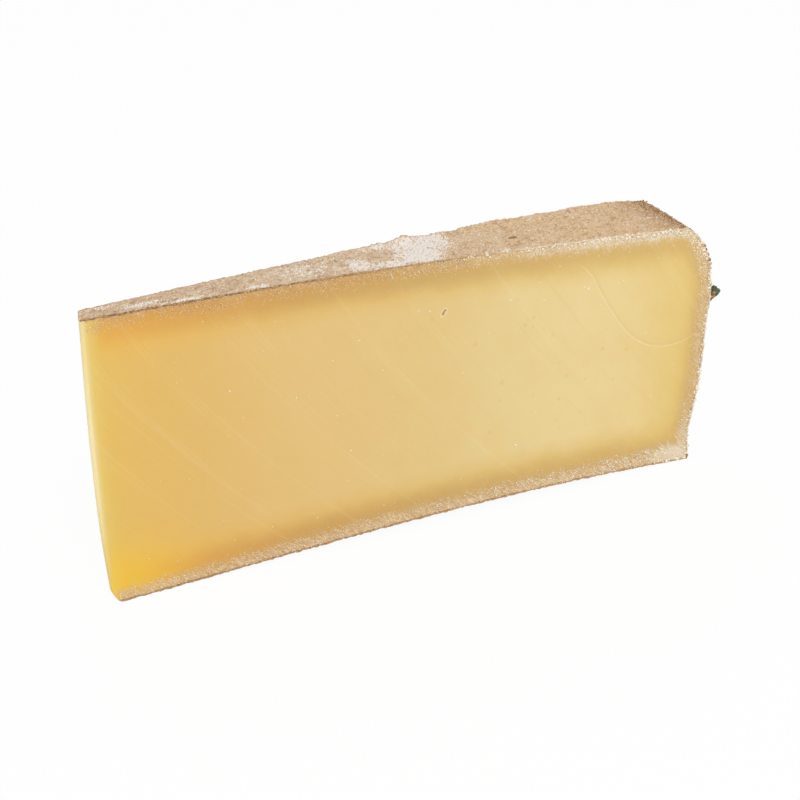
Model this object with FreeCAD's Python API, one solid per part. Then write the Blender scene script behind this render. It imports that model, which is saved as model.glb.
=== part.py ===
import FreeCAD, Part

import math
import os

# A thin wedge cut from a large pressed cheese wheel, standing upright on its underside.
#
# The wedge keeps the wheel's section: a crowned top that falls towards the heel, an underside that arches off
# the table, and a heel that is bevelled at the shoulder and draws in above its foot.  Both cut faces run
# towards the wheel's axis.  The point was trimmed off aslant, which leaves a thin nose with worn edges.  A torn
# scrap of the paper band that went round the wheel still clings to the heel.
#
# Millimetres.  +X runs from the nose to the heel along the wedge's middle and +Z is up.  The origin is at the
# bottom centre of the box round the part.  Every radius is measured from the wheel's axis.

# --- the wheel and the cuts ---
WHEEL_RADIUS = 289.7        # the heel's widest ring
NOSE_RADIUS = 52.0          # where the point of the wedge was trimmed off, on the cut face at -Y
WEDGE_ANGLE = 6.75          # degrees between the two cut faces

# --- top and underside ---
NOSE_HEIGHT = 109.0         # the wheel is thickest towards its middle
SHOULDER_HEIGHT = 99.9      # and thinner at the heel
TOP_CROWN = 2.1             # how far the top bows up between the two
HOLLOW_HEIGHT = 3.6         # how far the underside arches off the table
HOLLOW_RADIUS = 193.0       # where the arch is highest

# --- heel, from the foot up: each ring's height and how far it lies inside the widest ring ---
FOOT_INSET = 2.8
SINK_HEIGHT = 12.0          # the heel sinks in just above its foot
SINK_INSET = 3.5
WAIST_HEIGHT = 30.0
WAIST_INSET = 1.0
BEVEL_FOOT_DROP = 18.5      # measured down from the shoulder's height
BEVEL_FOOT_INSET = 0.3
BEVEL_HEAD_DROP = 3.4
BEVEL_HEAD_INSET = 7.6
BEVEL_BULGE = 0.9
SHOULDER_INSET = 11.9
SHOULDER_BULGE = 1.0

# --- nose, which bows: how far it stands back from its foremost point at each height ---
NOSE_TOP_INSET = 0.5
NOSE_BOW_HEIGHT = 58.0      # the height of its foremost point
NOSE_LOW_HEIGHT = 27.0
NOSE_LOW_INSET = 0.6
NOSE_FOOT_INSET = 2.4
NOSE_SLANT = 20.0           # degrees by which the trim runs back towards the cut face at +Y
NOSE_ROUND = 1.2            # on both upright edges
CHIP_HEIGHT = 5.5           # the broken corner at the foot of the nose
CHIP_DEPTH = 2.2
CHIP_BULGE = 0.4

# --- scrap of band on the heel ---
SCRAP_HEIGHT = 67.5         # underside of its root
SCRAP_REACH = 5.0           # how far it stands out from the widest ring
SCRAP_RISE = 3.0            # how far it climbs on the way
SCRAP_CURL = 0.7
SCRAP_THICKNESS = 1.2
SCRAP_LENGTH = 8.0          # along the heel
SCRAP_SETBACK = 0.5         # from the cut face at -Y to the scrap

# --- worked out from the sizes above ---
HALF_ANGLE = WEDGE_ANGLE / 2
NOSE_EDGE = math.radians(90 - NOSE_SLANT + HALF_ANGLE)
NOSE_WEAR = NOSE_ROUND * (1 / math.tan(NOSE_EDGE / 2) - 1)  # how far the rounding moves the nose back
AXIS_X = -(NOSE_RADIUS + NOSE_WEAR + WHEEL_RADIUS + SCRAP_REACH) / 2
AXIS = FreeCAD.Vector(AXIS_X, 0, 0)
UP = FreeCAD.Vector(0, 0, 1)
NOSE_CORNER = NOSE_RADIUS * math.sin(math.radians(HALF_ANGLE))
AIR = 6.0                   # spare room on cutting tools


def at(radius, height):
    """A point of the wheel's section, in the plane through its axis and +X."""
    return FreeCAD.Vector(AXIS_X + radius, 0, height)


def line(start, end):
    return Part.LineSegment(start, end).toShape()


def arc(start, end, bulge):
    """An arc from start to end whose middle stands off the chord, to the left of it in the section."""
    chord = end - start
    left = FreeCAD.Vector(-chord.z, 0, chord.x).normalize()
    return Part.Arc(start, (start + end) / 2 + left * bulge, end).toShape()


def smooth(points):
    """One smooth curve through the points."""
    curve = Part.BSplineCurve()
    curve.interpolate(points)
    return curve.toShape()


def sweep(edges, first, last):
    """The solid that the closed outline sweeps round the wheel's axis, from first to last in degrees."""
    section = Part.Face(Part.Wire(edges))
    section.rotate(AXIS, UP, first)
    return section.revolve(AXIS, UP, last - first)


def wheel_section():
    """The outline from in front of the nose along the underside, up the heel and back over the top."""
    front_foot = at(NOSE_RADIUS - AIR / 2, 0)
    hollow_start = at(NOSE_RADIUS + NOSE_FOOT_INSET + CHIP_DEPTH, 0)
    hollow_top = at(HOLLOW_RADIUS, HOLLOW_HEIGHT)
    foot = at(WHEEL_RADIUS - FOOT_INSET, 0)
    sink = at(WHEEL_RADIUS - SINK_INSET, SINK_HEIGHT)
    waist = at(WHEEL_RADIUS - WAIST_INSET, WAIST_HEIGHT)
    bevel_foot = at(WHEEL_RADIUS - BEVEL_FOOT_INSET, SHOULDER_HEIGHT - BEVEL_FOOT_DROP)
    belly = at(WHEEL_RADIUS, (waist.z + bevel_foot.z) / 2)
    bevel_head = at(WHEEL_RADIUS - BEVEL_HEAD_INSET, SHOULDER_HEIGHT - BEVEL_HEAD_DROP)
    shoulder = at(WHEEL_RADIUS - SHOULDER_INSET, SHOULDER_HEIGHT)
    nose_top = at(NOSE_RADIUS, NOSE_HEIGHT)
    front_top = at(NOSE_RADIUS - AIR / 2, NOSE_HEIGHT)
    return [
        line(front_foot, hollow_start),
        smooth([hollow_start, hollow_top, foot]),
        smooth([foot, sink, waist, belly, bevel_foot]),
        arc(bevel_foot, bevel_head, -BEVEL_BULGE),
        arc(bevel_head, shoulder, -SHOULDER_BULGE),
        arc(shoulder, nose_top, -TOP_CROWN),
        line(nose_top, front_top),
        line(front_top, front_foot),
    ]


def slanted(edges):
    """The solid that the closed outline sweeps along the trim's slant, across the whole nose."""
    slant = FreeCAD.Vector(math.sin(math.radians(NOSE_SLANT)), math.cos(math.radians(NOSE_SLANT)), 0)
    outline = Part.Face(Part.Wire(edges))
    outline.translate(FreeCAD.Vector(0, -NOSE_CORNER, 0) - slant * AIR)
    return outline.extrude(slant * (2 * NOSE_CORNER + 2 * AIR))


def nose_trim():
    """What the knife trimmed off the point of the wedge."""
    foot = at(NOSE_RADIUS + NOSE_FOOT_INSET, 0)
    low = at(NOSE_RADIUS + NOSE_LOW_INSET, NOSE_LOW_HEIGHT)
    bow = at(NOSE_RADIUS, NOSE_BOW_HEIGHT)
    top = at(NOSE_RADIUS + NOSE_TOP_INSET, NOSE_HEIGHT)
    above = at(NOSE_RADIUS + NOSE_TOP_INSET, NOSE_HEIGHT + AIR)
    below = at(NOSE_RADIUS + NOSE_FOOT_INSET, -AIR)
    front_above = at(NOSE_RADIUS - AIR, NOSE_HEIGHT + AIR)
    front_below = at(NOSE_RADIUS - AIR, -AIR)
    return slanted([
        smooth([foot, low, bow, top]),
        line(top, above),
        line(above, front_above),
        line(front_above, front_below),
        line(front_below, below),
        line(below, foot),
    ])


def nose_chip():
    """What broke off the foot of the nose, with some air round it."""
    top = at(NOSE_RADIUS, CHIP_HEIGHT)
    inner = at(NOSE_RADIUS + NOSE_FOOT_INSET + CHIP_DEPTH, 0)
    below = at(NOSE_RADIUS + NOSE_FOOT_INSET + CHIP_DEPTH, -AIR)
    front_below = at(NOSE_RADIUS - AIR, -AIR)
    front_top = at(NOSE_RADIUS - AIR, CHIP_HEIGHT)
    return slanted([
        arc(top, inner, -CHIP_BULGE),
        line(inner, below),
        line(below, front_below),
        line(front_below, front_top),
        line(front_top, top),
    ])


def with_round_nose(wedge):
    """Rounds the two upright edges of the nose."""
    upright = [edge for edge in wedge.Edges if edge.BoundBox.ZLength > 0.9 * NOSE_HEIGHT]
    return wedge.makeFillet(NOSE_ROUND, upright)


def cheese_wedge():
    """The whole wedge, rind and paste in one."""
    wedge = sweep(wheel_section(), -HALF_ANGLE, HALF_ANGLE).cut(nose_trim())
    return with_round_nose(wedge).cut(nose_chip())


def band_scrap(wedge):
    """The torn scrap of band: a thin tongue that leaves the heel and curls outwards and up."""
    root_radius = WHEEL_RADIUS - SINK_INSET
    low_root = at(root_radius, SCRAP_HEIGHT)
    low_tip = at(WHEEL_RADIUS + SCRAP_REACH, SCRAP_HEIGHT + SCRAP_RISE)
    high_tip = at(WHEEL_RADIUS + SCRAP_REACH - SCRAP_THICKNESS, low_tip.z + SCRAP_THICKNESS)
    high_root = at(root_radius, SCRAP_HEIGHT + SCRAP_THICKNESS)
    edges = [
        arc(low_root, low_tip, -SCRAP_CURL),
        line(low_tip, high_tip),
        arc(high_tip, high_root, SCRAP_CURL),
        line(high_root, low_root),
    ]
    first = -HALF_ANGLE + math.degrees(SCRAP_SETBACK / WHEEL_RADIUS)
    last = first + math.degrees(SCRAP_LENGTH / WHEEL_RADIUS)
    return sweep(edges, first, last).cut(wedge)


def main():
    os.makedirs("parts", exist_ok=True)
    wedge = cheese_wedge()
    nodes = {
        "cheese_wedge": wedge,
        "band_scrap": band_scrap(wedge),
    }
    for name, shape in nodes.items():
        solid = shape.Solids[0]
        solid.exportStep(f"parts/{name}.step")
        volume = solid.Volume / 1000
        print(f"{name}: {len(shape.Solids)} solid, valid {solid.isValid()}, {volume:.3f} cm3")


main()
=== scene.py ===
import math

import bmesh
import bpy
import numpy as np
from mathutils import Matrix, Vector, noise


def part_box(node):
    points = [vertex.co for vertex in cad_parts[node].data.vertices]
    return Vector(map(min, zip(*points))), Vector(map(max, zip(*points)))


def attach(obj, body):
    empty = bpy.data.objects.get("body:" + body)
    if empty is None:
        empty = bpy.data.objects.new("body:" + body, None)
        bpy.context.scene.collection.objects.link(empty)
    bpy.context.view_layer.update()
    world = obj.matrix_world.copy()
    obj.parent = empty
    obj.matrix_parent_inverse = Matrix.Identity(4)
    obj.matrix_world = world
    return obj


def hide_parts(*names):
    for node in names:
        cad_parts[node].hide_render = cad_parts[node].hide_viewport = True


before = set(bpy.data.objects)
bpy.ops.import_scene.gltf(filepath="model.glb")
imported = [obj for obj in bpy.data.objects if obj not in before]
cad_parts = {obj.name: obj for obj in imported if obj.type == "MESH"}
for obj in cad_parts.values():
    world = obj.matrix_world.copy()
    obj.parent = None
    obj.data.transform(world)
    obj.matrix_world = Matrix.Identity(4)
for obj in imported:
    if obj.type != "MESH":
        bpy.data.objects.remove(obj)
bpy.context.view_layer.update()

# ---------------------------------------------------------------------------------------------------------
# The paste: pressed, cooked cow's-milk cheese, pale ivory yellow inside and golden where it dries under the
# rind.  A long knife cut both faces towards the middle of the wheel and trimmed the point off aslant, so the
# nose is thin and light comes through it.
# ---------------------------------------------------------------------------------------------------------

# Meshes are built in millimetres, like the CAD part, and scaled to metres when they are done.
MM = 0.001
wedge_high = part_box("cheese_wedge")[1]
HEEL_X = wedge_high[0] / MM
NOSE_HEIGHT = wedge_high[2] / MM
HALF_THICKNESS = wedge_high[1] / MM

WHEEL_RADIUS = 289.7
NOSE_RADIUS = 53.0          # from the wheel's axis to near the nose; distances along the cuts start here
AXIS_X = HEEL_X - WHEEL_RADIUS
LENGTH = WHEEL_RADIUS - NOSE_RADIUS
HALF_ANGLE = math.asin(HALF_THICKNESS / WHEEL_RADIUS)
NOSE_THICKNESS = 2 * NOSE_RADIUS * math.sin(HALF_ANGLE)
NOSE_SLANT = math.radians(20)
NOSE_ROUND = 1.6            # how far the worn edges reach along the cuts
NOSE_REACH = 18.0           # how far along the cuts the nose's shape is felt
BACK_SWELL = 1.1            # how far the back cut swells out beside the nose
BACK_SWELL_REACH = 22.0
FAR_SINK = 1.5              # how far the top's far edge sinks towards the heel
FAR_SQUARE = 2.6            # how far the far end of the shoulder stands up
# Where the nose's front edge stands at each height, along the cut.
NOSE_HEIGHTS = (0.0, 27.0, 58.0, 109.0)
NOSE_STARTS = (1.4, -0.4, -1.0, -0.5)

SHOULDER_INSET = 11.9
SHOULDER_HEIGHT = 99.9
TOP_CROWN = 2.1
HOLLOW_HEIGHT = 3.6
HOLLOW_RADIUS = 193.0       # where the underside arches highest
FOOT_INSET = 2.8
CHIP_HEIGHT = 5.5
CHIP_DEPTH = 2.2
# Heights of the heel's rings, and how far each lies inside the widest one.
HEEL_HEIGHTS = (0.0, 12.0, 30.0, 55.7, 81.4, 90.8, 96.5, 99.9)
HEEL_INSETS = (2.8, 3.5, 1.0, 0.0, 0.3, 3.6, 7.6, 11.9)

PASTE_INSET = 0.45          # the paste ends this far under the outside of the rind
ALONG_CELLS = 350
UP_CELLS = 116
ACROSS_CELLS = 14
RIM_SHARE = 0.09            # share of the height that each rim takes
RIM_CELLS_SHARE = 0.22      # share of the cells in it

# Where the top's far edge stands up: distance from the nose, half length, height.
FAR_BUMPS = (
    (99, 6, 0.5), (111, 3, 0.9), (121.5, 5, 1.4), (136, 3, 0.5), (150, 4, 0.9), (160.5, 6, 1.2),
    (178, 5, 0.5), (196, 5, 0.6), (212, 8, 0.6),
)

# The knife's sweeps lean by this slope at this height, and bend further over below it.
SWEEP_TOP = 100.0
SWEEP_SLOPE = 0.62
SWEEP_BEND = 0.0022
# Distance from the nose at which the strongest sweeps pass that height.
STRONG_SWEEPS = (18.0, 43.0, 45.6, 61.0, 87.0, 145.0)

# Marks on the front cut, as (distance from the nose, height).
SCRATCH = (
    (177.5, 95.4), (181.5, 92.8), (184.8, 89.2), (189.2, 81.3), (196.7, 69.3), (204.3, 59.9), (212.5, 54.6),
    (223.1, 53.0), (231.0, 55.1), (236.0, 59.5),
)
HAIRLINE = ((53, 98), (43.6, 80.4), (40.2, 66.9), (36.9, 48.2), (36.5, 28.3), (38.3, 11))
SLIT = ((126.0, 85.0), (126.7, 85.9), (127.3, 86.8))
EYES = (
    (158.8, 74.1), (162.4, 73.1), (162.4, 76.5), (166.7, 71.7), (170.8, 68.1), (155.4, 85.2), (139.1, 70.7),
    (173.7, 56.0), (177.0, 49.9), (185.1, 46.6), (174.4, 40.6), (149.8, 45.7), (146.0, 33.3), (173.8, 31.7),
    (150.3, 52.8), (202.3, 55.4), (191.9, 57.8), (163.5, 44.8), (197.1, 44.0), (186.4, 26.7), (122.3, 84.2),
)


def smooth_curve(knots, values, at):
    """The values between the knots, along a curve with no corners."""
    knots = np.asarray(knots, float)
    values = np.asarray(values, float)
    slopes = np.gradient(values, knots)
    piece = np.clip(np.searchsorted(knots, at) - 1, 0, len(knots) - 2)
    width = knots[piece + 1] - knots[piece]
    share = (at - knots[piece]) / width
    start = (1 + 2 * share) * (1 - share) ** 2
    end = share**2 * (3 - 2 * share)
    climb = share * (1 - share) ** 2 * width
    fall = share**2 * (share - 1) * width
    return (
        start * values[piece] + end * values[piece + 1] + climb * slopes[piece] + fall * slopes[piece + 1]
    )


def top_height(radius):
    share = np.clip((radius - NOSE_RADIUS) / (LENGTH - SHOULDER_INSET), 0, 1.2)
    return NOSE_HEIGHT + (SHOULDER_HEIGHT - NOSE_HEIGHT) * share + 4 * TOP_CROWN * share * (1 - share)


def foot_height(radius):
    start = NOSE_RADIUS + NOSE_STARTS[0] + CHIP_DEPTH
    length = WHEEL_RADIUS - FOOT_INSET - start
    share = np.clip((radius - start) / length, 0, 1)
    share = share ** (math.log(0.5) / math.log((HOLLOW_RADIUS - start) / length))
    return 4 * HOLLOW_HEIGHT * share * (1 - share)


def heel_radius(height):
    return WHEEL_RADIUS - smooth_curve(HEEL_HEIGHTS, HEEL_INSETS, np.clip(height, 0, SHOULDER_HEIGHT))


def nose_radius(height):
    start = smooth_curve(NOSE_HEIGHTS, NOSE_STARTS, np.clip(height, 0, NOSE_HEIGHT))
    return NOSE_RADIUS + start + CHIP_DEPTH * np.clip(1 - height / CHIP_HEIGHT, 0, 1) ** 1.5


def far_lift(along, side):
    """How much higher the top stands near its far edge."""
    humps = 0
    for middle, half_length, height in FAR_BUMPS:
        humps = humps + height * np.exp(-(((along - middle) / half_length) ** 2))
    return humps * np.clip((side - 0.6) / 0.4, 0, 1)


def placed(radius, angle, height):
    """Points at these radii and angles round the wheel's axis."""
    return np.stack([AXIS_X + radius * np.cos(angle), radius * np.sin(angle), height + 0 * radius], axis=-1)


def worn(points):
    """Bends the plain wedge to its slanted, worn nose, its swollen back cut and its squarer far shoulder."""
    radius = points[:, 0] - AXIS_X
    near = np.clip(1 - (radius - NOSE_RADIUS) / NOSE_REACH, 0, 1) ** 2
    half = np.maximum(radius * math.sin(HALF_ANGLE), 0.1)
    side = np.clip(points[:, 1] / half, -1, 1)
    from_front = (1 + side) * NOSE_THICKNESS / 2
    slanted = from_front * math.tan(NOSE_SLANT)
    for gap, reach in ((from_front, NOSE_ROUND), (NOSE_THICKNESS - from_front, 0.6 * NOSE_ROUND)):
        bend = np.clip(1 - gap / reach, 0, 1)
        slanted += reach * (1 - np.sqrt(1 - 0.99 * bend**2))
    points[:, 0] += slanted * near
    back = (1 + side) / 2
    points[:, 1] += back * BACK_SWELL * np.exp(-np.clip(radius - NOSE_RADIUS, 0, None) / BACK_SWELL_REACH)
    high = np.clip((points[:, 2] - 70) / 25, 0, 1) * back
    points[:, 2] -= FAR_SINK * high * np.clip((radius - WHEEL_RADIUS + 40) / 28, 0, 1) ** 2
    points[:, 2] += FAR_SQUARE * high * np.clip((radius - WHEEL_RADIUS + 12) / 4, 0, 1)
    return points


def vertices(mesh):
    """The mesh's vertices as rows of x, y, z."""
    flat = np.empty(len(mesh.vertices) * 3)
    mesh.vertices.foreach_get("co", flat)
    return flat.reshape(-1, 3)


def set_vertices(mesh, points):
    mesh.vertices.foreach_set("co", np.asarray(points).ravel())
    mesh.update()


def add_attribute(mesh, name, values):
    """A number or a vector on each vertex, for a material to read."""
    values = np.asarray(values, float)
    kind = "FLOAT" if values.ndim == 1 else "FLOAT_VECTOR"
    key = "value" if values.ndim == 1 else "vector"
    mesh.attributes.new(name, kind, "POINT").data.foreach_set(key, values.ravel())


def add_piece(name, mesh, material):
    """Turns a finished mesh in millimetres into a piece that rides with the part."""
    mesh.transform(Matrix.Scale(MM, 4))
    mesh.materials.append(material)
    mesh.polygons.foreach_set("use_smooth", [True] * len(mesh.polygons))
    piece = bpy.data.objects.new(name, mesh)
    bpy.context.scene.collection.objects.link(piece)
    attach(piece, "root")
    return piece


def rough(points, size, octaves=3):
    """Smooth random heights between about -1 and 1, with lumps of the given size."""
    return np.array([noise.fractal(Vector(point) / size, 1.0, 2.0, octaves) for point in points])


def banded(share, band, cells_share):
    """Spreads even steps from 0 to 1 so that both end bands get their own share of the cells."""
    return np.interp(share, [0, cells_share, 1 - cells_share, 1], [0, band, 1 - band, 1])


def cut_place(points):
    """Distance from the nose, height, and side from -1 on the front cut to 1 on the back cut."""
    radius = np.hypot(points[:, 0] - AXIS_X, points[:, 1])
    side = np.arctan2(points[:, 1], points[:, 0] - AXIS_X) / HALF_ANGLE
    return np.stack([radius - NOSE_RADIUS, points[:, 2], side], axis=-1)


def rim_gaps(points):
    """How far each point lies from the top, the heel and the underside."""
    radius = np.hypot(points[:, 0] - AXIS_X, points[:, 1])
    height = points[:, 2]
    return np.stack(
        [top_height(radius) - height, heel_radius(height) - radius, height - foot_height(radius)], axis=-1
    )


def sweep_place(along, up):
    """Distance along the cut, bent so that it stays the same along each sweep of the knife."""
    drop = SWEEP_TOP - up
    return along - drop * (SWEEP_SLOPE + SWEEP_BEND * drop)


def line_gap(along, up, corners):
    """How far points on the cut lie from a smooth line through the corners, below zero to its left."""
    corners = np.asarray(corners, float)
    walked = np.concatenate([[0], np.cumsum(np.hypot(*np.diff(corners, axis=0).T))])
    steps = np.linspace(0, walked[-1], 160)
    line_along = smooth_curve(walked, corners[:, 0], steps)
    line_up = smooth_curve(walked, corners[:, 1], steps)
    run, climb = np.gradient(line_along), np.gradient(line_up)
    right = along[:, None] - line_along
    above = up[:, None] - line_up
    nearest = np.argmin(right**2 + above**2, axis=1)
    row = np.arange(len(along))
    right, above = right[row, nearest], above[row, nearest]
    turn = right * climb[nearest] - above * run[nearest]
    return np.hypot(right, above) * np.where(turn < 0, 1, -1)


def paste_mesh():
    bm = bmesh.new()
    bmesh.ops.create_grid(bm, x_segments=ALONG_CELLS, y_segments=UP_CELLS, size=0.5)
    for vert in bm.verts:
        along, up = vert.co.x + 0.5, vert.co.y + 0.5
        up = float(banded(up, RIM_SHARE, RIM_CELLS_SHARE))
        radius = NOSE_RADIUS + LENGTH * along
        # The section's sides depend on each other: this settles in a few rounds.
        for _ in range(4):
            low = foot_height(radius) + PASTE_INSET
            height = low + (top_height(radius) - PASTE_INSET - low) * up
            start = nose_radius(height)
            radius = start + (heel_radius(height) - PASTE_INSET - start) * along
        vert.co = (AXIS_X + radius, 0, height)
    axis = Vector((AXIS_X, 0, 0))
    bmesh.ops.rotate(bm, verts=bm.verts, cent=axis, matrix=Matrix.Rotation(-HALF_ANGLE, 3, "Z"))
    bmesh.ops.spin(
        bm,
        geom=bm.verts[:] + bm.edges[:] + bm.faces[:],
        cent=axis,
        axis=(0, 0, 1),
        dvec=(0, 0, 0),
        angle=2 * HALF_ANGLE,
        steps=ACROSS_CELLS,
        use_merge=False,
        use_duplicate=False,
    )
    bmesh.ops.recalc_face_normals(bm, faces=bm.faces)
    mesh = bpy.data.meshes.new("paste")
    bm.to_mesh(mesh)
    bm.free()

    points = vertices(mesh)
    place = cut_place(points)
    gaps = rim_gaps(points)
    along, up, side = place.T
    front = side < -0.999
    marks = np.full((len(points), 3), 99.0)
    for column, line in enumerate((SCRATCH, HAIRLINE, SLIT)):
        marks[front, column] = line_gap(along[front], up[front], line)
    marks[:, 1:] = np.abs(marks[:, 1:])
    add_attribute(mesh, "rim_gaps", gaps)
    add_attribute(mesh, "cut_place", place)
    add_attribute(mesh, "marks", marks)

    # Both cuts wave a little across the knife's sweeps, and crumble where they meet the dry rim.
    on_faces = np.abs(side) > 0.999
    sweeps = sweep_place(along, up)
    wave = np.zeros(len(points))
    flat = np.stack([sweeps, up * 0.05, side * 40], axis=-1)
    wave[on_faces] = 0.12 * rough(flat[on_faces], 9.0)
    rim = np.clip(1 - gaps.min(axis=1) / 3.0, 0, 1)
    crumbled = on_faces & (rim > 0)
    wave[crumbled] += rim[crumbled] * (0.3 * rough(points[crumbled], 1.3) - 0.12)
    points[:, 1] += np.sign(side) * wave * np.clip(along / 12, 0, 1)
    points[:, 2] += 0.6 * far_lift(along, side) * np.clip(1 - gaps[:, 0] / 6.0, 0, 1)
    set_vertices(mesh, worn(points))
    return mesh


def paint(red, green, blue):
    """A colour from its usual 0 to 255 values."""
    return tuple(
        part / 12.92 if part <= 0.04045 else ((part + 0.055) / 1.055) ** 2.4
        for part in (red / 255, green / 255, blue / 255)
    ) + (1.0,)


def new_material(name):
    """A material with its shader and the socket of positions in millimetres."""
    material = bpy.data.materials.new(name)
    material.use_nodes = True
    nodes = material.node_tree.nodes
    place = nodes.new("ShaderNodeTexCoord")
    scale = nodes.new("ShaderNodeMapping")
    scale.inputs["Scale"].default_value = (1 / MM, 1 / MM, 1 / MM)
    feed(place.outputs["Object"], scale.inputs["Vector"])
    return material, nodes["Principled BSDF"], scale.outputs["Vector"]


def feed(given, socket):
    """Links a socket to another, or sets its value."""
    if isinstance(given, bpy.types.NodeSocket):
        socket.id_data.links.new(given, socket)
    else:
        socket.default_value = given


def new_node(kind, *given):
    """A node in the tree of the first socket among the given values."""
    socket = next(value for value in given if isinstance(value, bpy.types.NodeSocket))
    return socket.id_data.nodes.new(kind)


def calc(operation, *given):
    """A Math node on sockets or numbers."""
    node = new_node("ShaderNodeMath", *given)
    node.operation = operation
    for value, socket in zip(given, node.inputs):
        feed(value, socket)
    return node.outputs[0]


def times(*given):
    """All the given values multiplied together."""
    product = given[0]
    for value in given[1:]:
        product = calc("MULTIPLY", product, value)
    return product


def total(*given):
    """All the given values added up."""
    amount = given[0]
    for value in given[1:]:
        amount = calc("ADD", amount, value)
    return amount


def fade(value, low, high, start=0.0, end=1.0):
    """Goes smoothly from start to end as the value goes from low to high."""
    node = new_node("ShaderNodeMapRange", value)
    node.interpolation_type = "SMOOTHSTEP"
    keys = ("Value", "From Min", "From Max", "To Min", "To Max")
    for given, key in zip((value, low, high, start, end), keys):
        feed(given, node.inputs[key])
    return node.outputs["Result"]


def blend(share, first, second):
    """A mix of two colours."""
    node = new_node("ShaderNodeMix", share, first, second)
    node.data_type = "RGBA"
    for given, socket in zip((share, first, second), (node.inputs[0], node.inputs[6], node.inputs[7])):
        feed(given, socket)
    return node.outputs[2]


def ramp(value, *stops):
    """A colour ramp through stops, each a place with the red, green and blue there."""
    node = new_node("ShaderNodeValToRGB", value)
    elements = node.color_ramp.elements
    while len(elements) < len(stops):
        elements.new(0.5)
    for element, (place, *colour) in zip(elements, stops):
        element.position = place
        element.color = paint(*colour)
    feed(value, node.inputs["Fac"])
    return node.outputs["Color"]


def grain(place, size, detail=3.0, roughness=0.55, stretch=(1, 1, 1), turn=0.0):
    """Noise with lumps of about that size in millimetres, which can be stretched, then turned about Y."""
    scale = new_node("ShaderNodeMapping", place)
    scale.vector_type = "TEXTURE"
    scale.inputs["Rotation"].default_value = (0, math.radians(turn), math.radians(turn))
    scale.inputs["Scale"].default_value = tuple(size * factor for factor in stretch)
    feed(place, scale.inputs["Vector"])
    node = new_node("ShaderNodeTexNoise", place)
    node.inputs["Scale"].default_value = 1.0
    node.inputs["Detail"].default_value = detail
    node.inputs["Roughness"].default_value = roughness
    feed(scale.outputs["Vector"], node.inputs["Vector"])
    return node.outputs["Fac"]


def parts_of(vector):
    node = new_node("ShaderNodeSeparateXYZ", vector)
    feed(vector, node.inputs[0])
    return node.outputs


def vector_of(x, y, z):
    node = new_node("ShaderNodeCombineXYZ", x, y, z)
    for given, socket in zip((x, y, z), node.inputs):
        feed(given, socket)
    return node.outputs[0]


def attribute(shader, name, output="Fac"):
    """A value stored on the mesh, read beside the shader."""
    node = shader.id_data.nodes.new("ShaderNodeAttribute")
    node.attribute_name = name
    return node.outputs[output]


def bump(shader, height, strength=1.0):
    """Relief from a height in millimetres."""
    node = new_node("ShaderNodeBump", height)
    node.inputs["Strength"].default_value = strength
    node.inputs["Distance"].default_value = MM
    feed(height, node.inputs["Height"])
    feed(node.outputs["Normal"], shader.inputs["Normal"])


def drying_paste(place, along, up, share, gaps):
    """The paste's colour: ivory inside, then golden, then brown as it dries under the rind."""
    top_gap, heel_gap, foot_gap = gaps
    base = ramp(
        share,
        (0.02, 225, 187, 98), (0.08, 224, 184, 102), (0.16, 222, 185, 110), (0.26, 223, 189, 122),
        (0.40, 224, 194, 131), (0.52, 224, 197, 135), (0.64, 227, 204, 145), (0.77, 231, 209, 152),
        (0.87, 231, 207, 146), (0.94, 228, 200, 127),
    )
    cloud = grain(place, 16.0, 4.0)
    base = blend(fade(cloud, 0.35, 0.7, 0.0, 0.14), base, paint(222, 182, 104))

    # The gaps to the three rims are joined smoothly into one.
    nearness = total(
        calc("EXPONENT", times(top_gap, -0.32)),
        calc("EXPONENT", times(heel_gap, -0.44)),
        calc("EXPONENT", times(foot_gap, -0.27)),
    )
    wander = times(total(grain(place, 9.0, 3.0), -0.5), 0.3)
    dry = total(times(calc("LOGARITHM", nearness, math.e), -0.23), wander)
    golden = ramp(
        share,
        (0.05, 230, 182, 84), (0.30, 219, 180, 100), (0.60, 220, 188, 112), (1.00, 222, 190, 112),
    )
    base = blend(fade(dry, 0.7, 1.35, 0.7, 0.0), base, golden)
    moist = times(fade(along, 150.0, 190.0), fade(up, 70.0, 90.0))
    halo = times(fade(dry, 0.42, 0.98, 1.0, 0.0), total(times(moist, -0.12), 1.0))
    halo_colour = ramp(
        share,
        (0.00, 227, 172, 78), (0.12, 217, 165, 82), (0.30, 205, 161, 91), (0.50, 204, 167, 101),
        (0.75, 209, 174, 106), (1.00, 212, 176, 106),
    )
    colour = blend(halo, base, halo_colour)

    # Under the top rim it is brownest.
    under_rim = times(
        fade(top_gap, 0.5, 6.0, 0.45, 0.0),
        fade(along, 2.0, 20.0),
        fade(along, 100.0, 160.0, 1.0, 0.0),
    )
    return blend(under_rim, colour, paint(192, 134, 66))


def lit_nose(colour, along, up, side):
    """Light comes through the thin nose, whitest at its front edge and yellowest low down."""
    from_edge = total(along, times(total(side, 1.0), -0.9))
    edge_colour = ramp(
        times(total(from_edge, 2.0), 1 / 8),
        (0.00, 249, 237, 194), (0.10, 245, 230, 182), (0.22, 230, 208, 138), (0.40, 226, 196, 108),
        (0.90, 225, 190, 97),
    )
    colour = blend(fade(from_edge, 1.0, 8.0, 0.95, 0.0), colour, edge_colour)
    corner = times(
        fade(along, 0.0, 44.0, 1.0, 0.0),
        fade(up, 5.0, 34.0, 1.0, 0.0),
        fade(from_edge, -0.5, 2.0),
    )
    return blend(times(corner, 0.82), colour, paint(238, 196, 62))


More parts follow.
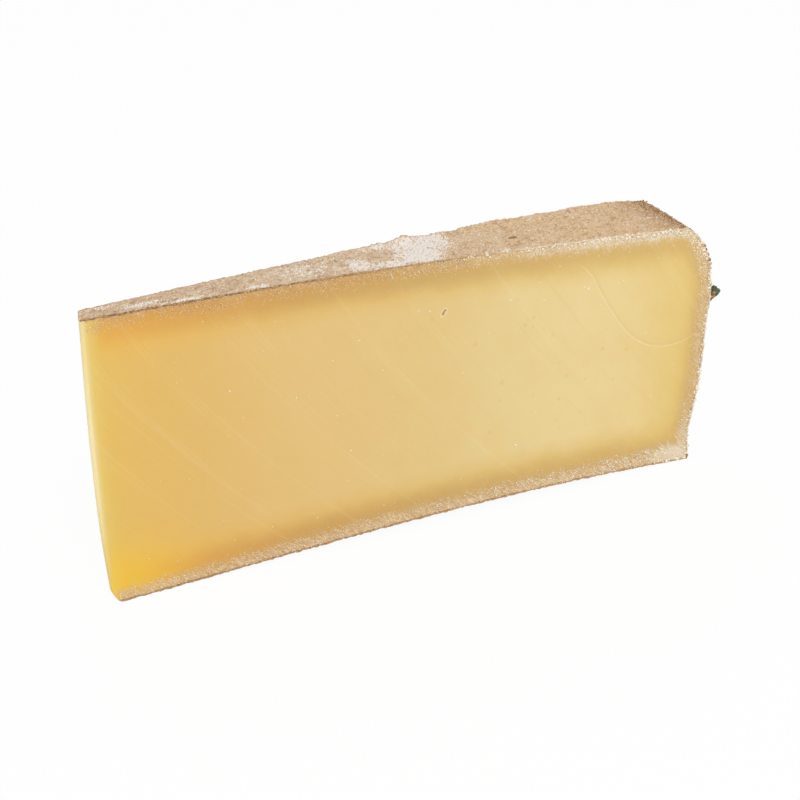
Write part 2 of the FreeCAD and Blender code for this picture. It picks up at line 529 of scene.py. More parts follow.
def closed_eyes(place, along, up, side):
    """How strongly the small closed eyes show on the front cut."""
    flat_place = vector_of(along, up, 0.0)
    nearest = 99.0
    shrinking = (1.0, 1.5, 0.85, 1.3)
    for number, (eye_along, eye_up) in enumerate(EYES):
        distance = new_node("ShaderNodeVectorMath", flat_place)
        distance.operation = "DISTANCE"
        feed(flat_place, distance.inputs[0])
        distance.inputs[1].default_value = (eye_along, eye_up, 0)
        gap = times(distance.outputs["Value"], shrinking[number % len(shrinking)])
        nearest = calc("MINIMUM", nearest, gap)
    wobble = times(total(grain(place, 1.4, 2.0), -0.5), 1.6)
    eyes = fade(total(nearest, wobble), 0.25, 1.15, 0.2, 0.0)
    return times(eyes, fade(side, -0.95, -0.9, 1.0, 0.0))


def swept(colour, sweep, up, side):
    """The knife's sweeps, broad, fine and strong: their painted shade and highlights, and their relief."""
    across = times(side, 9.0)
    broad = grain(vector_of(sweep, times(up, 0.03), across), 5.0, 3.0, 0.6)
    fine = grain(vector_of(sweep, times(up, 0.05), across), 1.1, 3.0, 0.6)
    cuts = total(times(broad, 0.6), times(fine, 0.4))
    # Darker and paler streaks along the sweeps are painted shade and painted highlight on their low ridges.
    colour = blend(fade(cuts, 0.44, 0.34, 0.0, 0.07), colour, paint(206, 164, 92))
    colour = blend(fade(cuts, 0.54, 0.66, 0.0, 0.09), colour, paint(244, 222, 172))
    strong = 99.0
    for start in STRONG_SWEEPS:
        gap = calc("ABSOLUTE", calc("SUBTRACT", sweep, start))
        strong = calc("MINIMUM", strong, gap)
    strong = times(fade(strong, 0.1, 0.6, 1.0, 0.0), fade(broad, 0.38, 0.6))
    # The strongest sweeps get a painted highlight along them.
    colour = blend(times(strong, 0.06), colour, paint(245, 223, 170))
    return colour, total(times(cuts, 0.12), times(strong, 0.02))


def scored(colour, along, marks):
    """A wire's scratch, a hairline and one slit, with painted highlights and shade: the colour and relief."""
    scratch, hairline, slit = marks
    ends = times(fade(along, 177.0, 188.0), fade(along, 224.0, 236.0, 1.0, 0.4))
    # The scratch's raised lip gets a painted highlight and its far side painted shade.
    lit_lip = times(fade(calc("ABSOLUTE", scratch), 0.08, 0.4, 1.0, 0.0), ends)
    shaded = times(fade(scratch, 0.15, 0.6), fade(scratch, 0.7, 2.0, 1.0, 0.0), ends)
    colour = blend(times(shaded, 0.1), colour, paint(206, 166, 92))
    colour = blend(times(lit_lip, 0.45), colour, paint(244, 226, 178))
    hair = fade(hairline, 0.05, 0.4, 0.1, 0.0)
    colour = blend(hair, colour, paint(196, 150, 84))
    # The slit gets a painted highlight on its lip and painted shade inside it.
    lit_slit_lip = fade(calc("ABSOLUTE", total(slit, -0.75)), 0.1, 0.4, 0.3, 0.0)
    colour = blend(lit_slit_lip, colour, paint(246, 236, 214))
    inside = fade(slit, 0.25, 0.6, 1.0, 0.0)
    colour = blend(times(inside, 0.7), colour, paint(176, 122, 62))
    relief = total(times(lit_lip, 0.08), times(shaded, -0.06), times(inside, -0.5))
    return colour, relief


def frosted(colour, place, along, up, side, share, sweep, gaps):
    """The frost of crumbs dragged from the dry rim, palest towards the heel: the colour and relief."""
    top_gap, heel_gap, foot_gap = gaps
    drawn = times(up, total(times(share, -0.26), 0.4))
    lean = grain(vector_of(sweep, drawn, times(side, 9.0)), 0.42, 2.0, 0.6)
    patches = times(total(grain(place, 3.0, 2.0), -0.5), 5.0)
    speckle = times(total(lean, -0.5), 12.0)
    to_heel = fade(share, 0.42, 0.78)
    top_reach = total(top_gap, patches, times(speckle, -0.5))
    width_top = total(times(to_heel, 3.2), 3.4)
    strength_top = total(times(to_heel, 0.55), 0.35)
    frost_top = fade(top_reach, 0.3, width_top, strength_top, 0.0)
    width_foot = total(times(share, 1.6), times(fade(along, 200.0, 232.0), 3.2), 4.4)
    foot_reach = total(foot_gap, times(patches, 0.5), times(speckle, -1.0))
    frost_foot = fade(foot_reach, total(width_foot, -3.6), total(width_foot, 2.2), 1.0, 0.0)
    heel_reach = total(heel_gap, patches, times(speckle, -1.0))
    frost_heel = fade(heel_reach, 0.0, 8.0, 0.8, 0.0)
    frost = calc("MAXIMUM", calc("MAXIMUM", frost_top, frost_foot), frost_heel)
    frost = times(frost, fade(along, 0.5, 5.0))
    frost_colour = ramp(
        lean,
        (0.34, 208, 168, 116), (0.47, 219, 185, 140), (0.58, 229, 203, 164), (0.72, 242, 226, 198),
    )
    by_foot = times(fade(along, 209.0, 233.0), fade(up, 4.0, 24.0, 1.0, 0.0))
    ledge = times(fade(along, 140.0, 190.0), fade(up, 92.0, 97.0, 0.0, 0.7))
    white = calc("MAXIMUM", by_foot, ledge)
    frost_colour = blend(times(white, 0.75), frost_colour, paint(244, 235, 216))
    return blend(times(frost, 0.9), colour, frost_colour), times(lean, frost, 0.35)


def paste_material():
    material, shader, place = new_material("paste")
    along, up, side = parts_of(attribute(shader, "cut_place", "Vector"))
    gaps = parts_of(attribute(shader, "rim_gaps", "Vector"))
    marks = parts_of(attribute(shader, "marks", "Vector"))
    share = calc("DIVIDE", along, LENGTH)
    drop = calc("SUBTRACT", SWEEP_TOP, up)
    slope = total(times(drop, SWEEP_BEND), SWEEP_SLOPE)
    sweep = calc("SUBTRACT", along, times(drop, slope))

    colour = drying_paste(place, along, up, share, gaps)
    colour = lit_nose(colour, along, up, side)
    eyes = closed_eyes(place, along, up, side)
    colour = blend(eyes, colour, paint(214, 168, 70))
    colour, sweep_relief = swept(colour, sweep, up, side)
    colour, mark_relief = scored(colour, along, marks)
    colour, frost_relief = frosted(colour, place, along, up, side, share, sweep, gaps)
    feed(colour, shader.inputs["Base Color"])

    tooth = times(grain(place, 0.5, 2.0), 0.05)
    height = total(sweep_relief, tooth, frost_relief, mark_relief, times(eyes, -0.25))
    bump(shader, height, 0.8)
    shader.inputs["Roughness"].default_value = 0.55
    shader.inputs["Specular IOR Level"].default_value = 0.3
    shader.inputs["Subsurface Weight"].default_value = 0.35
    shader.inputs["Subsurface Radius"].default_value = (1.0, 0.55, 0.2)
    shader.inputs["Subsurface Scale"].default_value = 3.0 * MM
    return material


paste = add_piece("paste", paste_mesh(), paste_material())
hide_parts("cheese_wedge")

# ---------------------------------------------------------------------------------------------------------
# The rind: a dry skin under a millimetre thick, washed with brine while the wheel ripened.  It wraps the top,
# the heel and the underside, rough like sandstone with patches of white mould, and broke off ragged along
# both cuts.
# ---------------------------------------------------------------------------------------------------------

RIND_THICKNESS = 0.5
RIND_PATH_CELLS = 900
RIND_ACROSS_CELLS = 36
# White mould on the top: distance from the nose, side, half length, half width as a side, strength.
MOULD = (
    (20, -0.25, 9, 0.4, 0.7), (34, -0.75, 9, 0.25, 0.85), (60, -0.68, 5, 0.22, 0.85),
    (79, 0.0, 12, 0.8, 0.46), (98, -0.35, 5, 0.6, 1.0), (108, -0.75, 9, 0.35, 0.95),
    (110, 0.8, 7, 0.25, 0.75), (121, -0.1, 9, 1.3, 1.15), (129, 0.5, 8, 0.8, 1.1),
    (216, -0.1, 5, 0.15, 0.5), (150, -0.9, 6, 0.15, 0.5), (8, 0.6, 6, 0.4, 0.5),
)
# One dark pit, given in the same way.
PITS = ((158.5, -0.18, 2.0, 0.06, 0.8),)
PIT_DEPTH = 0.4


def spots(along, side, places):
    """The strongest of the soft oval spots at each point."""
    strongest = np.zeros(len(along))
    for middle_along, middle_side, half_length, half_width, strength in places:
        gap = ((along - middle_along) / half_length) ** 2 + ((side - middle_side) / half_width) ** 2
        strongest = np.maximum(strongest, strength * np.exp(-(gap**1.5)))
    return strongest


def rind_path(steps):
    """Radius, height and outward direction round the section, from the nose over the top.

    The steps are distances along it, or the number of even steps to take."""
    top = np.linspace(NOSE_RADIUS + NOSE_STARTS[-1], WHEEL_RADIUS - SHOULDER_INSET, 400)
    heel = np.linspace(SHOULDER_HEIGHT, 0, 400)[1:]
    foot = np.linspace(WHEEL_RADIUS - FOOT_INSET, NOSE_RADIUS + NOSE_STARTS[0] + CHIP_DEPTH, 400)[1:]
    radius = np.concatenate([top, heel_radius(heel), foot])
    height = np.concatenate([top_height(top), heel, foot_height(foot)])
    walked = np.concatenate([[0], np.cumsum(np.hypot(np.diff(radius), np.diff(height)))])
    if isinstance(steps, int):
        steps = np.linspace(0, walked[-1], steps + 1)
    out_radius, out_height = -np.gradient(height, walked), np.gradient(radius, walked)
    found = [np.interp(steps, walked, values) for values in (radius, height, out_radius, out_height)]
    length = np.hypot(found[2], found[3])
    return found[0], found[1], found[2] / length, found[3] / length


def rind_mesh():
    bm = bmesh.new()
    bmesh.ops.create_grid(bm, x_segments=RIND_PATH_CELLS, y_segments=RIND_ACROSS_CELLS, size=0.5)
    grid = np.array([vert.co[:] for vert in bm.verts])
    radius, height, out_radius, out_height = rind_path(RIND_PATH_CELLS)
    column = np.rint((grid[:, 0] + 0.5) * RIND_PATH_CELLS).astype(int)
    side = np.sign(grid[:, 1]) * (1 - (1 - np.abs(grid[:, 1] * 2)) ** 1.25)
    along = radius[column] - NOSE_RADIUS
    points = placed(radius[column], side * HALF_ANGLE, height[column])
    on_top = out_height[column] > 0.7
    lift = 0.16 * rough(points, 3.2) + 0.14 * rough(points, 1.1)
    edge = np.clip((np.abs(side) - 0.9) / 0.1, 0, 1)
    torn = rough(points * (1, 0.2, 1), 1.5)
    lift += edge * 0.2 * torn
    lift += far_lift(along, side) * on_top * (0.85 + 0.35 * torn)
    lift -= PIT_DEPTH * on_top * spots(along, side, PITS)
    outward = np.stack([out_radius[column], 0 * side, out_height[column]], axis=-1)
    points = points + outward * lift[:, None]
    points[:, 1] += np.sign(side) * edge * (0.1 + 0.22 * torn)
    points[:, 2] = np.maximum(points[:, 2], 0)
    for vert, point in zip(bm.verts, points):
        vert.co = point
    bmesh.ops.recalc_face_normals(bm, faces=bm.faces)
    bmesh.ops.solidify(bm, geom=bm.faces[:], thickness=RIND_THICKNESS)
    bmesh.ops.recalc_face_normals(bm, faces=bm.faces)
    mesh = bpy.data.meshes.new("rind")
    bm.to_mesh(mesh)
    bm.free()
    points = vertices(mesh)
    place = cut_place(points)
    from_cut = (place[:, 0] + NOSE_RADIUS) * HALF_ANGLE * (1 - np.abs(place[:, 2]))
    add_attribute(mesh, "rind_place", np.stack([place[:, 0], from_cut, place[:, 2]], axis=-1))
    add_attribute(mesh, "mould", spots(place[:, 0], place[:, 2], MOULD) * (points[:, 2] > 90))
    add_attribute(mesh, "pits", spots(place[:, 0], place[:, 2], PITS) * (points[:, 2] > 90))
    points[:, 2] = np.maximum(points[:, 2], 0)
    set_vertices(mesh, worn(points))
    return mesh


def rind_material():
    material, shader, place = new_material("rind")
    z = parts_of(place)[2]
    along, from_cut, side = parts_of(attribute(shader, "rind_place", "Vector"))
    mottle = grain(place, 6.0, 5.0, 0.6)
    fine = grain(place, 0.8, 3.0, 0.6)
    strokes = calc(
        "MAXIMUM",
        grain(place, 0.5, 2.0, 0.6, (3.5, 1, 3.5), 32.0),
        grain(place, 0.5, 2.0, 0.6, (1, 3.5, 3.5), -24.0),
    )
    blotches = grain(place, 2.2, 4.0, 0.7, (1.6, 1, 1), 20.0)
    colour = ramp(
        mottle,
        (0.34, 208, 178, 146), (0.48, 219, 191, 159), (0.60, 224, 199, 168), (0.72, 230, 211, 185),
    )
    # It is browner towards the heel, and darkest, with painted shade, where the top ends.
    colour = blend(fade(along, 90.0, 190.0, 0.0, 0.75), colour, paint(227, 190, 143))
    colour = blend(fade(along, 10.0, 70.0, 0.3, 0.0), colour, paint(188, 148, 114))
    # Painted shade, the darkest brown, where the top bends down over the shoulder, with a ragged edge.
    ragged = times(total(mottle, fine, blotches, -1.5), 20.0)
    shoulder = times(fade(total(along, ragged), 206.0, 229.0), fade(z, 88.0, 96.0))
    colour = blend(times(shoulder, 0.8), colour, paint(172, 126, 80))
    colour = blend(fade(blotches, 0.5, 0.34, 0.0, 0.54), colour, paint(172, 128, 88))
    colour = blend(fade(blotches, 0.54, 0.68, 0.0, 0.5), colour, paint(236, 218, 194))
    colour = blend(fade(fine, 0.48, 0.34, 0.0, 0.55), colour, paint(164, 120, 80))
    colour = blend(fade(strokes, 0.54, 0.66, 0.0, 0.52), colour, paint(240, 222, 196))
    specks = grain(place, 1.1, 1.0)
    colour = blend(fade(specks, 0.33, 0.25, 0.0, 0.7), colour, paint(126, 92, 62))

    mould = attribute(shader, "mould")
    bloom = total(mould, times(total(grain(place, 2.4, 4.0, 0.7), -0.5), 1.7))
    bloom = fade(total(bloom, times(total(strokes, -0.57), 4.0)), 0.28, 0.8)
    colour = blend(times(bloom, 0.88), colour, paint(248, 241, 233))
    grooves = times(fade(strokes, 0.55, 0.44), bloom, 0.6)
    colour = blend(grooves, colour, paint(212, 190, 166))
    pits = fade(attribute(shader, "pits"), 0.1, 0.4, 0.0, 0.7)
    colour = blend(pits, colour, paint(112, 82, 56))

    lower = fade(z, 94.0, 99.0, 0.5, 0.0)
    colour = blend(lower, colour, paint(168, 130, 92))

    # The broken edge shows a dark skin towards the nose and pale crumbly paste towards the heel.
    broken = fade(total(from_cut, times(total(fine, -0.5), 0.8)), 0.1, 0.55, 1.0, 0.0)
    pale = fade(total(along, times(mottle, 40.0)), 145.0, 185.0)
    pale = times(pale, fade(z, 3.0, 10.0))
    dark = blend(fade(specks, 0.42, 0.6), paint(134, 96, 62), paint(190, 146, 100))
    # Near the underside the dark edge is painted lighter: painted light against the shade that falls on the
    # low rim.
    dark = blend(fade(z, 1.5, 6.0, 0.45, 0.0), dark, paint(214, 172, 124))
    dark = blend(fade(along, 70.0, 120.0, 0.0, 0.6), dark, paint(208, 162, 106))
    dark = blend(fade(side, 0.0, 0.5), dark, paint(204, 172, 138))
    edge_colour = blend(pale, dark, paint(232, 214, 182))
    colour = blend(times(broken, 0.85), colour, edge_colour)
    feed(colour, shader.inputs["Base Color"])

    height = total(times(fine, 0.5), times(strokes, 0.35), times(mottle, 0.6))
    bump(shader, height, 0.74)
    shader.inputs["Roughness"].default_value = 0.9
    shader.inputs["Specular IOR Level"].default_value = 0.15
    return material


add_piece("rind", rind_mesh(), rind_material())

# ---------------------------------------------------------------------------------------------------------
# The crumbs: bits of dry paste that the knife dragged along both rims.  They lie dense over the underside's
# rim, thin out under the top, and cling in pale clots to the rim near the heel.
# ---------------------------------------------------------------------------------------------------------

chance = np.random.default_rng(11)
# Along the way round the section from the top of the nose, in millimetres.
CRUMB_STEPS = (0, 60, 120, 160, 222, 240, 262, 300, 330, 345, 400, 480, 565)
CRUMB_DENSITY = (4.6, 4.6, 4.2, 3.2, 1.7, 1.8, 1.7, 1.6, 2.0, 2.4, 1.9, 1.9, 1.9)
CRUMB_BAND = (4.5, 4.6, 4.2, 3.0, 2.6, 3.6, 4.4, 4.6, 6.0, 6.4, 5.2, 5.0, 4.4)
CRUMB_TONE = (0.64, 0.64, 0.68, 0.8, 0.98, 0.94, 0.74, 0.66, 0.84, 1.0, 0.86, 0.8, 0.78)
CRUMB_SIZE = (0.25, 0.26, 0.28, 0.36, 0.4, 0.4, 0.36, 0.36, 0.4, 0.44, 0.38, 0.34, 0.31)
CLOT_STEPS = (128, 160, 200, 224, 250, 290, 345)
CLOT_DENSITY = (0.1, 0.7, 1.2, 1.3, 1.0, 0.9, 0.9)


def grains(name, rows):
    """Many small lumps in one mesh: each is a dented ball of twenty triangles, stretched along its axes.

    Each row holds the centres, axes, sizes and tones of some of them."""
    centres, axes, sizes, tones = (np.concatenate(column) for column in zip(*rows))
    bm = bmesh.new()
    bmesh.ops.create_icosphere(bm, subdivisions=1, radius=0.5)
    ball = np.array([vert.co[:] for vert in bm.verts])
    corners = np.array([[vert.index for vert in face.verts] for face in bm.faces])
    bm.free()
    dents = chance.uniform(0.7, 1.25, (len(centres), len(ball), 1))
    points = centres[:, None, :] + np.einsum("nij,njk->nik", ball * dents * sizes[:, None, :], axes)
    faces = corners + np.arange(len(centres))[:, None, None] * len(ball)
    mesh = bpy.data.meshes.new(name)
    mesh.from_pydata(points.reshape(-1, 3).tolist(), [], faces.reshape(-1, 3).tolist())
    add_attribute(mesh, "tone", np.repeat(tones, len(ball)))
    return mesh


def on_cut(along, up, side, lean, out=0.0):
    """Centres on the cuts, and the directions along the lean, across it and outwards from the cut."""
    angle = np.broadcast_to(side * HALF_ANGLE, along.shape)
    centres = placed(NOSE_RADIUS + along, angle, up)
    inward = np.stack([np.cos(angle), np.sin(angle), 0 * angle], axis=-1)
    outward = np.stack([-np.sin(angle), np.cos(angle), 0 * angle], axis=-1) * np.sign(angle)[:, None]
    stretched = inward * np.cos(lean)[:, None] - (0, 0, 1) * np.sin(lean)[:, None]
    axes = np.stack([stretched, np.cross(outward, stretched), outward], axis=1)
    return worn(centres) + outward * np.reshape(out, (-1, 1)), axes


def lump_sizes(count, middle, spread, low, high):
    """Random sizes between low and high, mostly near the middle one."""
    return np.exp(chance.normal(math.log(middle), spread, count)).clip(low, high)


def by_density(count, steps, density):
    """Random steps, closer together where the density is higher."""
    fine = np.linspace(steps[0], steps[-1], 2000)
    heaped = np.cumsum(np.interp(fine, steps, density))
    return np.interp(chance.random(count) * heaped[-1], heaped, fine)


def inside_rim(steps, gap):
    """Distance from the nose and height of places at that gap inside the section's rim."""
    radius, height, out_radius, out_height = rind_path(steps)
    return radius - out_radius * gap - NOSE_RADIUS, height - out_height * gap


def sweep_lean(up, spread):
    """The knife's slope at each height, in radians below level, with some spread."""
    return np.arctan2(1, SWEEP_SLOPE + 2 * SWEEP_BEND * (SWEEP_TOP - up)) + chance.normal(0, spread, len(up))


def rim_crumbs(count):
    """Along, height, size and tone of crumbs on one cut."""
    steps = by_density(count, CRUMB_STEPS, CRUMB_DENSITY)
    band = np.interp(steps, CRUMB_STEPS, CRUMB_BAND)
    gap = 0.2 + band * chance.random(count) ** 1.15 + chance.exponential(0.45, count)
    stray = chance.random(count) < 0.05
    gap += stray * chance.exponential(3.0, count)
    length = np.interp(steps, CRUMB_STEPS, CRUMB_SIZE) * lump_sizes(count, 1.0, 0.32, 0.5, 2.2)
    tone = np.interp(steps, CRUMB_STEPS, CRUMB_TONE) + chance.normal(0, 0.1, count)
    along, up = inside_rim(steps, gap)
    low = foot_height(along + NOSE_RADIUS) + 0.5
    high = top_height(along + NOSE_RADIUS) - 0.3
    return along.clip(0.6, None), np.clip(up, low, high), length, tone


def crumbs_mesh():
    rows = []
    for side, count, clots in ((-1.0, 7400, 420), (1.0, 1900, 120)):
        along, up, length, tone = rim_crumbs(count)
        lean = sweep_lean(up, 0.4)
        places = on_cut(along, up, side, lean, chance.uniform(-0.05, 0.05, count))
        stretch = np.full((count, 3), (1.0, 0.7, 0.45))
        stretch[:, 0] = chance.uniform(1.0, 1.9, count)
        rows.append((*places, length[:, None] * stretch, tone))

        # Pale clots on the rim near the heel.
        steps = by_density(clots, CLOT_STEPS, CLOT_DENSITY)
        along, up = inside_rim(steps, chance.uniform(-0.25, 1.5, clots))
        lean = chance.uniform(-1.2, 1.2, clots)
        places = on_cut(along, np.maximum(up, 0.9), side, lean, chance.uniform(-0.1, 0.25, clots))
        size = lump_sizes(clots, 0.65, 0.3, 0.35, 1.3)[:, None] * (1.25, 0.9, 0.6)
        rows.append((*places, size, chance.normal(0.92, 0.1, clots)))
    return grains("crumbs", rows)


def crumb_material(name, stops, roughness):
    material, shader, place = new_material(name)
    speckle = times(total(grain(place, 0.3, 2.0), -0.5), 0.3)
    tone = total(attribute(shader, "tone"), speckle)
    feed(ramp(tone, *stops), shader.inputs["Base Color"])
    shader.inputs["Roughness"].default_value = roughness
    shader.inputs["Specular IOR Level"].default_value = 0.2
    return material


crumb_stops = [
    (0.00, 126, 88, 56), (0.25, 182, 136, 90), (0.50, 220, 178, 120), (0.75, 240, 215, 178),
    (1.00, 251, 242, 224),
]
add_piece("crumbs", crumbs_mesh(), crumb_material("crumbs", crumb_stops, 0.7))

# ---------------------------------------------------------------------------------------------------------
# The crystals: white grains of tyrosine that grew in the paste while it ripened, cut through by the knife.
# The larger ones on the front cut have their places, and the rest are strewn over both cuts.
# ---------------------------------------------------------------------------------------------------------

FRONT_STREWN = 60
BACK_STREWN = 100
# Distance from the nose, height and size on the front cut.
CRYSTALS = (
    (39.9, 100.4, 0.6), (29.9, 80.2, 0.5), (47.8, 72.9, 1.1), (46.4, 71.0, 0.5), (52.0, 61.7, 0.6),
    (46.6, 56.2, 0.5), (71.4, 65.0, 0.6), (84.9, 76.3, 0.6), (82.4, 63.1, 0.55), (86.1, 54.4, 0.7),
    (91.1, 39.2, 0.8), (89.6, 27.3, 0.6), (60.6, 15.5, 0.6), (94.8, 81.9, 0.8), (103.5, 68.5, 0.6),
    (64.8, 95.2, 0.6), (15.6, 14.8, 0.6), (76.2, 17.1, 0.5), (77.7, 14.7, 0.6), (25.6, 10.9, 0.5),
    (121.3, 87.4, 0.9), (117, 88.5, 0.8), (152.9, 85.4, 1.2), (166.2, 82.8, 1.2), (164.1, 90.1, 0.6),
    (184.3, 83.7, 1.1), (182.6, 84.6, 0.8), (180.9, 80.7, 0.7), (198.8, 84.0, 0.7), (172.1, 94.8, 0.6),
    (144.5, 74.0, 0.6), (156.9, 25.2, 1.2), (157.2, 23.9, 0.7), (214.6, 32.9, 0.8), (221.3, 31.7, 0.6),
    (217.1, 28.5, 0.6), (210.2, 60.5, 0.7), (220.6, 87.6, 0.5), (212.8, 90.3, 0.5), (219.1, 82.5, 0.5),
    (223.2, 44.1, 0.5), (164.8, 37.0, 0.6), (189.9, 76.3, 0.5), (178, 20.2, 0.6), (229, 30, 0.5),
)


def crystals_mesh():
    listed = np.array(CRYSTALS)
    along = np.concatenate([listed[:, 0], chance.uniform(8, 226, FRONT_STREWN + BACK_STREWN)])
    up = np.concatenate([listed[:, 1], chance.uniform(12, 95, FRONT_STREWN + BACK_STREWN)])
    front_size = lump_sizes(FRONT_STREWN, 0.26, 0.2, 0.1, 0.8)
    back_size = lump_sizes(BACK_STREWN, 0.45, 0.4, 0.2, 1.2)
    size = np.concatenate([0.85 * listed[:, 2], front_size, back_size])
    side = np.concatenate([np.full(len(listed) + FRONT_STREWN, -1.0), np.full(BACK_STREWN, 1.0)])
    lean = chance.uniform(-0.8, 1.2, len(along))
    places = on_cut(along, up, side, lean)
    stretch = np.full((len(along), 3), (1.0, 1.0, 0.45))
    stretch[:, 0] = chance.uniform(1.0, 1.6, len(along))
    stretch[:, 1] = chance.uniform(0.7, 1.0, len(along))
    tone = chance.uniform(0.8, 1.0, len(along))
    return grains("crystals", [(*places, size[:, None] * stretch, tone)])


crystal_stops = [(0.6, 236, 216, 170), (1.0, 246, 238, 218)]
add_piece("crystals", crystals_mesh(), crumb_material("crystals", crystal_stops, 0.45))

# ---------------------------------------------------------------------------------------------------------
# The rind's own crumbs: brown and tan grit that broke off with the rind along both cuts, and stuck to the
# shoulder, with a few larger flakes beside the band.
# ---------------------------------------------------------------------------------------------------------

GRIT_STEPS = (0, 100, 150, 200, 224, 232, 262, 300, 335, 345, 450, 565)
GRIT_DENSITY = (1.0, 0.9, 0.7, 0.35, 0.5, 1.0, 0.8, 0.6, 0.5, 0.5, 0.6, 0.6)
GRIT_TONE = (0.4, 0.4, 0.46, 0.6, 0.7, 0.55, 0.7, 0.8, 0.8, 0.66, 0.6, 0.56)
SHOULDER_GRIT = 300
# Flakes on the front rim of the heel: height, size and tone.
FLAKES = (
    (91.5, 1.4, 0.5), (89.8, 1.1, 0.34), (87.5, 1.4, 0.6), (85.4, 1.6, 0.42), (83.6, 1.6, 0.75),
    (82.0, 1.2, 0.8), (70.0, 1.1, 0.3), (1.6, 1.4, 0.45),
)


def grit_mesh():
    rows = []
    for side, count in ((-1.0, 1100), (1.0, 1300)):
        steps = by_density(count, GRIT_STEPS, GRIT_DENSITY)
        along, up = inside_rim(steps, chance.normal(0.25, 0.2, count))
        inset = 1 - chance.random(count) ** 2 * 1.2 / ((along + NOSE_RADIUS) * HALF_ANGLE)
        lean = chance.uniform(-0.5, 0.5, count)
        places = on_cut(along, np.maximum(up, 0.5), side * inset, lean)
        size = lump_sizes(count, 0.27, 0.3, 0.15, 0.7)[:, None] * (1.5, 0.85, 0.8)
        tone = np.interp(steps, GRIT_STEPS, GRIT_TONE) + 0.12 * (1 + side)
        rows.append((*places, size, tone + chance.normal(0, 0.16, count)))

    # Dark grit along the shoulder, over the wedge's whole thickness.
    along, up = inside_rim(chance.normal(226.0, 2.2, SHOULDER_GRIT), -0.2)
    side = chance.uniform(-1, 1, SHOULDER_GRIT)
    lean = chance.uniform(-1, 1, SHOULDER_GRIT)
    size = lump_sizes(SHOULDER_GRIT, 0.36, 0.3, 0.2, 0.8)[:, None] * (1.4, 1.1, 0.6)
    rows.append((*on_cut(along, up, side, lean), size, chance.normal(0.5, 0.2, SHOULDER_GRIT)))

    up, size, tone = np.array(FLAKES).T
    along = heel_radius(up) - NOSE_RADIUS + 0.1
    places = on_cut(along, up, -1.0, chance.uniform(0.8, 1.6, len(up)))
    rows.append((*places, size[:, None] * (1.3, 0.9, 0.8), tone))
    return grains("grit", rows)


grit_stops = [
    (0.00, 92, 64, 42), (0.30, 150, 110, 74), (0.60, 196, 158, 118), (1.00, 226, 208, 184),
]
add_piece("grit", grit_mesh(), crumb_material("grit", grit_stops, 0.85))

# ---------------------------------------------------------------------------------------------------------
# The scrap of band: what is left of the green paper band that went round the wheel.  It tore, curled away
# from the heel and took a brown flake of rind with it.
# ---------------------------------------------------------------------------------------------------------

scrap_low, scrap_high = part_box("band_scrap")
SCRAP_FIRST = scrap_low[1] / MM
SCRAP_LAST = scrap_high[1] / MM
# Distance out from the heel and height, from the root to the tip.
FLAKE_LINE = ((-1.2, 67.9), (0.8, 68.2), (2.2, 69.0), (3.4, 70.2), (4.0, 71.2))
PAPER_LINE = ((-0.6, 68.4), (1.6, 68.6), (3.0, 69.2), (4.4, 70.3), (5.1, 71.4), (4.4, 72.0))


def tongue_mesh(name, line, crumple, seed):
    """A torn strip that follows the line outwards, and lies along the heel for the scrap's length."""
    line = np.array(line)
    walked = np.concatenate([[0], np.cumsum(np.hypot(*np.diff(line, axis=0).T))])
    bm = bmesh.new()
    bmesh.ops.create_grid(bm, x_segments=28, y_segments=44, size=0.5)
    for vert in bm.verts:
        across = vert.co.y + 0.5
        shift = Vector((seed, across * 7.0, 0.0))
        reach = 1 - 0.22 * (0.5 + 0.5 * noise.noise(shift * 1.3)) - 0.5 * max(0.0, across - 0.55)
        step = (vert.co.x + 0.5) * reach * walked[-1]
        out = float(smooth_curve(walked, line[:, 0], np.array(step)))
        up = float(smooth_curve(walked, line[:, 1], np.array(step)))
        along_heel = SCRAP_FIRST + across * (SCRAP_LAST - SCRAP_FIRST)
        loose = step / walked[-1]
        place = Vector((out, along_heel, up))
        out += crumple * loose * noise.fractal(place / 1.4 + shift, 1.0, 2.0, 3)
        up += crumple * loose * noise.fractal(place / 1.4 - shift, 1.0, 2.0, 3)
        along_heel += crumple * 0.6 * loose * noise.noise(place / 0.9)
        angle = along_heel / WHEEL_RADIUS
        radius = WHEEL_RADIUS + out
        vert.co = (AXIS_X + radius * math.cos(angle), radius * math.sin(angle), up)
    bmesh.ops.recalc_face_normals(bm, faces=bm.faces)
    mesh = bpy.data.meshes.new(name)
    bm.to_mesh(mesh)
    bm.free()
    return mesh


def add_tongue(name, line, thickness, crumple, seed, material):
    piece = add_piece(name, tongue_mesh(name, line, crumple, seed), material)
    skin = piece.modifiers.new("thickness", "SOLIDIFY")
    skin.thickness = thickness * MM
    skin.offset = 0
    return piece


def torn_material(name, stops, roughness):
    material, shader, place = new_material(name)
    broad = grain(place, 1.2, 3.0)
    fine = grain(place, 0.35, 2.0)
    shade = total(times(broad, 0.6), times(fine, 0.4))
    feed(ramp(shade, *stops), shader.inputs["Base Color"])
    bump(shader, times(shade, 0.4), 0.8)
    shader.inputs["Roughness"].default_value = roughness
    shader.inputs["Specular IOR Level"].default_value = 0.2
    return material


flake_stops = [(0.38, 112, 78, 50), (0.5, 168, 128, 88), (0.6, 220, 200, 168)]
add_tongue("scrap_rind", FLAKE_LINE, 0.9, 0.4, 3.7, torn_material("scrap_rind", flake_stops, 0.9))
paper_stops = [
    (0.34, 50, 76, 60), (0.48, 78, 108, 84), (0.58, 116, 136, 106), (0.68, 186, 186, 156),
]
band = add_tongue("band", PAPER_LINE, 0.35, 0.7, 8.1, torn_material("band", paper_stops, 0.8))
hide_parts("band_scrap")

# ---------------------------------------------------------------------------------------------------------
# The studio: a white floor that keeps a soft shadow, a white surround, and one wide soft lamp.
# ---------------------------------------------------------------------------------------------------------

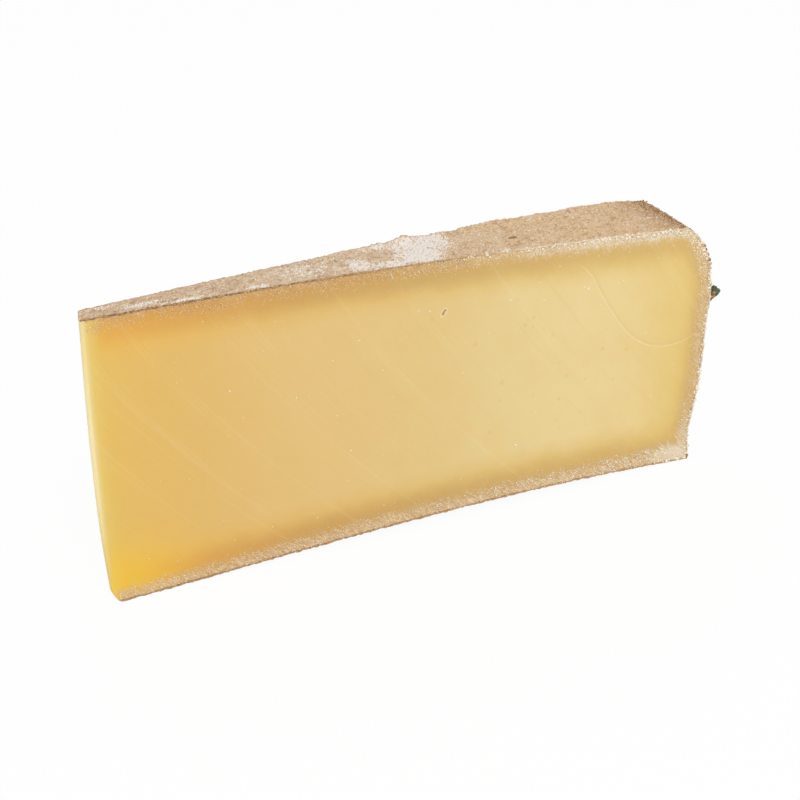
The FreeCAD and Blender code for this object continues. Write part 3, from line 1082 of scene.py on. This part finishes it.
CAMERA_PLACE = (-0.255285, -0.47132, 0.34724)
CAMERA_PITCH = 29.21        # degrees below the horizon
CAMERA_TURN = 27.897        # degrees from +Y towards +X
CAMERA_LENS = 76.727

camera_data = bpy.data.cameras.new("camera")
camera_data.lens = CAMERA_LENS
camera_data.sensor_width = 36.0
camera = bpy.data.objects.new("camera", camera_data)
camera.location = CAMERA_PLACE
camera.rotation_euler = (math.radians(90 - CAMERA_PITCH), 0, math.radians(-CAMERA_TURN))
bpy.context.scene.collection.objects.link(camera)
bpy.context.scene.camera = camera


def seen_white(shader, output, share):
    """Mixes plain white into a surface or a surround, for camera rays and for mirrored and clear ones."""
    on_surface = output.bl_idname == "ShaderNodeOutputMaterial"
    nodes = output.id_data.nodes
    glow = nodes.new("ShaderNodeEmission" if on_surface else "ShaderNodeBackground")
    glow.inputs["Color"].default_value = (1, 1, 1, 1)
    glow.inputs["Strength"].default_value = 1.0
    path = nodes.new("ShaderNodeLightPath")
    mixed = nodes.new("ShaderNodeMixShader")
    seen = calc("MAXIMUM", path.outputs["Is Camera Ray"], path.outputs["Is Glossy Ray"])
    seen = calc("MAXIMUM", seen, path.outputs["Is Transmission Ray"])
    feed(times(seen, share), mixed.inputs[0])
    feed(shader.outputs[0], mixed.inputs[1])
    feed(glow.outputs[0], mixed.inputs[2])
    feed(mixed.outputs[0], output.inputs["Surface"])


bm = bmesh.new()
bmesh.ops.create_circle(bm, cap_ends=True, segments=96, radius=2.5)
floor_mesh = bpy.data.meshes.new("floor")
bm.to_mesh(floor_mesh)
bm.free()
floor = bpy.data.objects.new("floor", floor_mesh)
bpy.context.scene.collection.objects.link(floor)
floor_material, matt, _ = new_material("floor")
matt.inputs["Base Color"].default_value = (0.95, 0.95, 0.95, 1)
matt.inputs["Roughness"].default_value = 1.0
matt.inputs["Specular IOR Level"].default_value = 0.0
seen_white(matt, floor_material.node_tree.nodes["Material Output"], 0.94)
floor_mesh.materials.append(floor_material)

world = bpy.data.worlds.new("surround")
world.use_nodes = True
bpy.context.scene.world = world
light = world.node_tree.nodes["Background"]
light.inputs["Color"].default_value = (1, 1, 1, 1)
light.inputs["Strength"].default_value = 0.66
seen_white(light, world.node_tree.nodes["World Output"], 1.0)

lamp_data = bpy.data.lights.new("soft_lamp", "AREA")
lamp_data.shape = "DISK"
lamp_data.size = 1.0
lamp_data.energy = 11.8
lamp = bpy.data.objects.new("soft_lamp", lamp_data)
lamp.location = (-0.3, -1.1, 1.3)
lamp.rotation_euler = (Vector((0, 0, 0.05)) - Vector(lamp.location)).to_track_quat("-Z", "Y").to_euler()
bpy.context.scene.collection.objects.link(lamp)

bpy.context.scene.view_settings.view_transform = "Standard"
